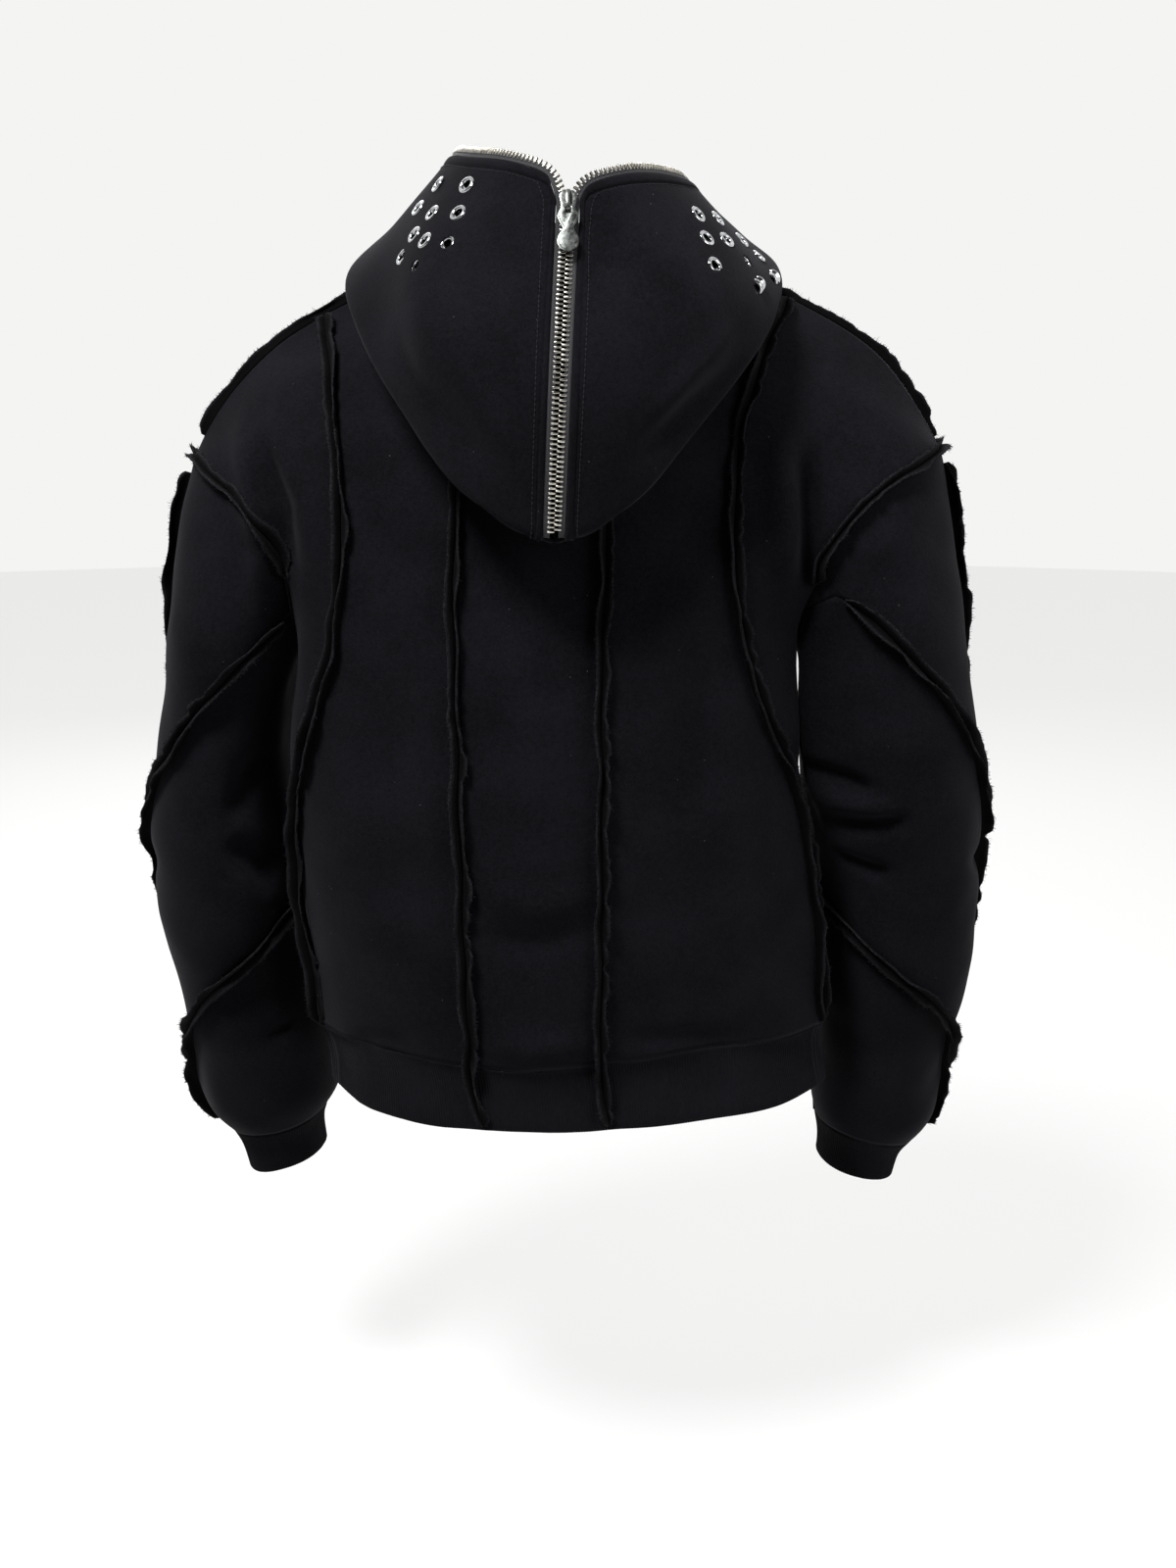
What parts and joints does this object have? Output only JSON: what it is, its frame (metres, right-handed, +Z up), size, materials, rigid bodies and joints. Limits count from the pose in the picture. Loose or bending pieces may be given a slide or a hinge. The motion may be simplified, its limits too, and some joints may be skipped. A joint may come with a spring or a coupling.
{
  "type": "zip up hoodie",
  "caption": "Black fleece zip-up hoodie, worn and hollow, hood down, with raw seam edges outside, a zip that runs on over the hood, eyelets in the hood, and rib hem and cuffs.",
  "frame": {"origin": "middle of the neck opening at the height of the points where neck and shoulder meet, where a wearer holds the garment up", "axes": "+Z up along the neck, front of the garment towards -Y, wearer's left towards +X"},
  "size_m": [0.7133, 0.3433, 0.8508],
  "materials": {
    "fleece": "matt brushed cotton fleece",
    "rib": "matt rib knit",
    "zip_tape": "woven tape",
    "dark_metal": "worn gunmetal plating",
    "chrome": "polished"
  },
  "bodies": {
    "garment": {"back_centre": "fleece", "back_left": "fleece", "back_right": "fleece", "cuff_left": "rib", "cuff_right": "rib", "eyelet_left_1": "chrome", "eyelet_left_10": "chrome", "eyelet_left_2": "chrome", "eyelet_left_3": "chrome", "eyelet_left_4": "chrome", "eyelet_left_5": "chrome", "eyelet_left_6": "chrome", "eyelet_left_7": "chrome", "eyelet_left_8": "chrome", "eyelet_left_9": "chrome", "eyelet_right_1": "chrome", "eyelet_right_10": "chrome", "eyelet_right_2": "chrome", "eyelet_right_3": "chrome", "eyelet_right_4": "chrome", "eyelet_right_5": "chrome", "eyelet_right_6": "chrome", "eyelet_right_7": "chrome", "eyelet_right_8": "chrome", "eyelet_right_9": "chrome", "front_left": "fleece", "front_right": "fleece", "hem_rib_back": "rib", "hem_rib_left": "rib", "hem_rib_right": "rib", "hood_left": "fleece", "hood_right": "fleece", "raw_edge_armhole_left": "fleece", "raw_edge_armhole_right": "fleece", "raw_edge_curved_left": "fleece", "raw_edge_curved_right": "fleece", "raw_edge_outer_left": "fleece", "raw_edge_outer_right": "fleece", "raw_edge_shoulder_left": "fleece", "raw_edge_shoulder_right": "fleece", "raw_edge_under_left": "fleece", "raw_edge_under_right": "fleece", "raw_edge_vertical_left": "fleece", "raw_edge_vertical_right": "fleece", "side_left": "fleece", "side_right": "fleece", "sleeve_left_first": "fleece", "sleeve_left_second": "fleece", "sleeve_right_first": "fleece", "sleeve_right_second": "fleece", "slider_front": "dark_metal", "slider_hood": "dark_metal", "zip_left": "zip_tape", "zip_right": "zip_tape"},
    "hood_pull": {"pull_hood": "dark_metal"},
    "front_pull": {"pull_front": "dark_metal"}
  },
  "joints": [
    {"name": "hood_pull_hinge", "type": "hinge", "parent": "garment", "child": "hood_pull", "pos_m": [0, 0.16604, 0.02457], "axis": [1, 0, 0], "range_deg": [0, 140]},
    {"name": "front_pull_hinge", "type": "hinge", "parent": "garment", "child": "front_pull", "pos_m": [0, -0.10266, -0.045], "axis": [-1, 0, 0], "range_deg": [0, 140]}
  ]
}
